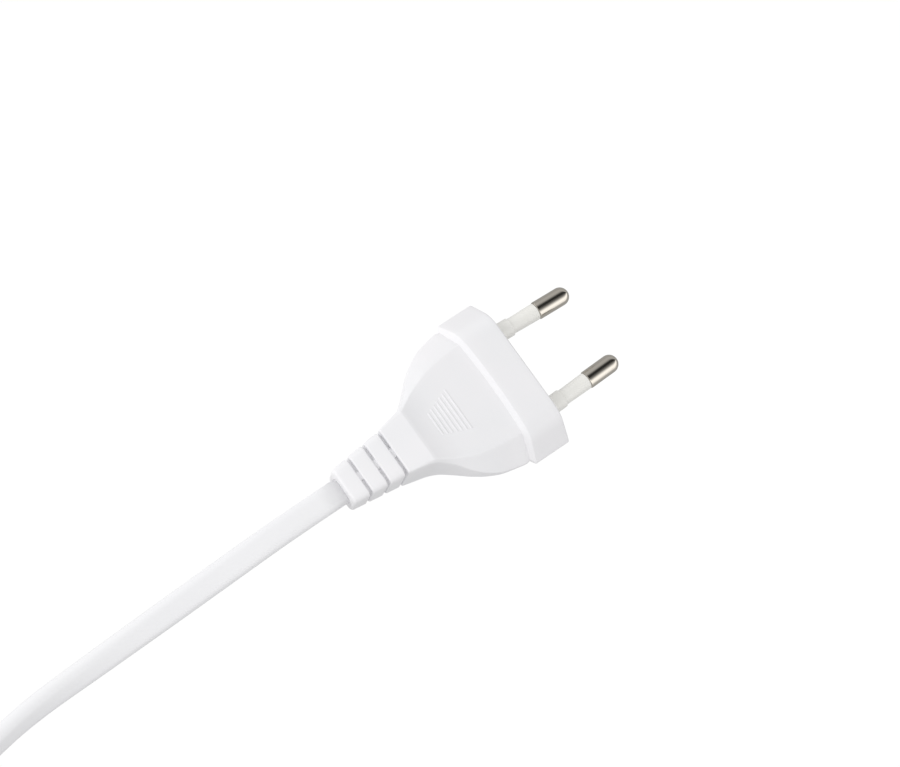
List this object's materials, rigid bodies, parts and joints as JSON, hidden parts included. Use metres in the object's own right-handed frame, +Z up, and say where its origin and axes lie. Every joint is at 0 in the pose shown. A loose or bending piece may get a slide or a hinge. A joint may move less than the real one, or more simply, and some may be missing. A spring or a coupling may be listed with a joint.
{
  "type": "europlug",
  "caption": "Flat moulded europlug with round sleeved pins, a tapering grip, a ribbed strain relief and a flat white lead put away in a hank.",
  "frame": {"origin": "under the middle of the plug without its lead, on the surface that its flat underside lies on", "axes": "+X along the plug from the lead to the pin tips, +Y to the left pin seen from the lead, +Z up"},
  "size_m": [0.2873, 0.0477, 0.0181],
  "materials": {
    "white_pvc": "satin white flexible PVC",
    "sheath_pvc": "satin white lead sheath",
    "sleeve_plastic": "ivory insulating plastic",
    "bridge_plastic": "stiff light grey plastic",
    "nickel_plate": "bright nickel plate on brass",
    "copper": "bare stranded copper",
    "tie_plastic": "thin white plastic strip",
    "brown_pvc": "brown core insulation",
    "blue_pvc": "blue core insulation",
    "tin_plate": "tinned copper end sleeve"
  },
  "bodies": {
    "root": {"overmould_body": "white_pvc", "pin_bridge": "bridge_plastic", "left_pin": "nickel_plate", "right_pin": "nickel_plate", "left_pin_sleeve": "sleeve_plastic", "right_pin_sleeve": "sleeve_plastic", "brown_conductor": "copper", "blue_conductor": "copper", "brown_core_insulation": "brown_pvc", "blue_core_insulation": "blue_pvc", "sheath_in_relief": "sheath_pvc", "lead_run": "sheath_pvc", "lead_hank": "sheath_pvc", "lead_tie": "tie_plastic", "brown_core_end": "brown_pvc", "blue_core_end": "blue_pvc", "brown_end_sleeve": "tin_plate", "blue_end_sleeve": "tin_plate"}
  },
  "joints": []
}
